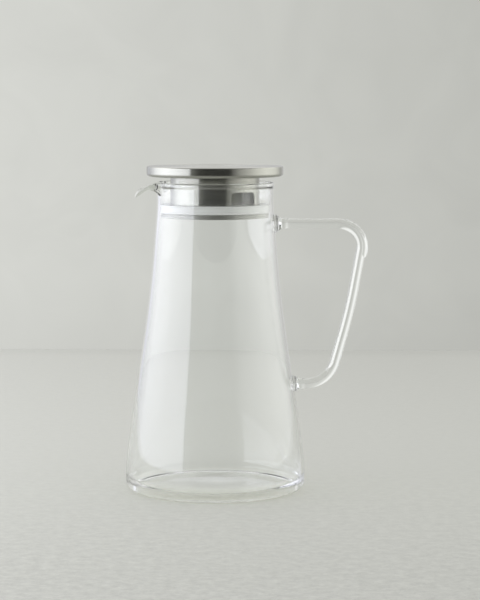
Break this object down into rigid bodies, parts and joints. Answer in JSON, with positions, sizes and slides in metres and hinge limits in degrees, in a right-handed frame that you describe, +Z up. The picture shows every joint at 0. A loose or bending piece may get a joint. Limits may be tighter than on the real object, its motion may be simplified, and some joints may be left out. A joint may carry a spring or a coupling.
{
  "type": "lidded glass jug",
  "caption": "Tapered glass jug with a bent glass rod handle, a pulled pouring lip and a flat steel lid with a windowed collar, held in the neck by a silicone ring.",
  "frame": {"origin": "middle of the flat underside of the glass", "axes": "+Z up along the jug's axis, +X towards the handle, -X towards the pouring lip"},
  "size_m": [0.1927, 0.1424, 0.257],
  "materials": {
    "clear_glass": "clear blown borosilicate glass, fire polished",
    "silicone": "milky translucent food-grade silicone, satin",
    "steel": "stainless steel, fine brushed grain running round the lid"
  },
  "bodies": {
    "jug": {"glass_body": "clear_glass", "glass_handle": "clear_glass", "upper_gather": "clear_glass", "lower_gather": "clear_glass"},
    "seal": {"seal_ring": "silicone"},
    "lid": {"base_ring": "steel", "pour_collar": "steel", "cap_liner": "steel", "lid_cap": "steel"}
  },
  "joints": [
    {"name": "lid_lift", "type": "slide", "parent": "jug", "child": "seal", "axis": [0, 0, 1], "range_m": [0, 0.06]},
    {"name": "lid_turn", "type": "hinge", "parent": "seal", "child": "lid", "pos_m": [0, 0, 0.2238], "axis": [0, 0, 1], "continuous": true}
  ]
}
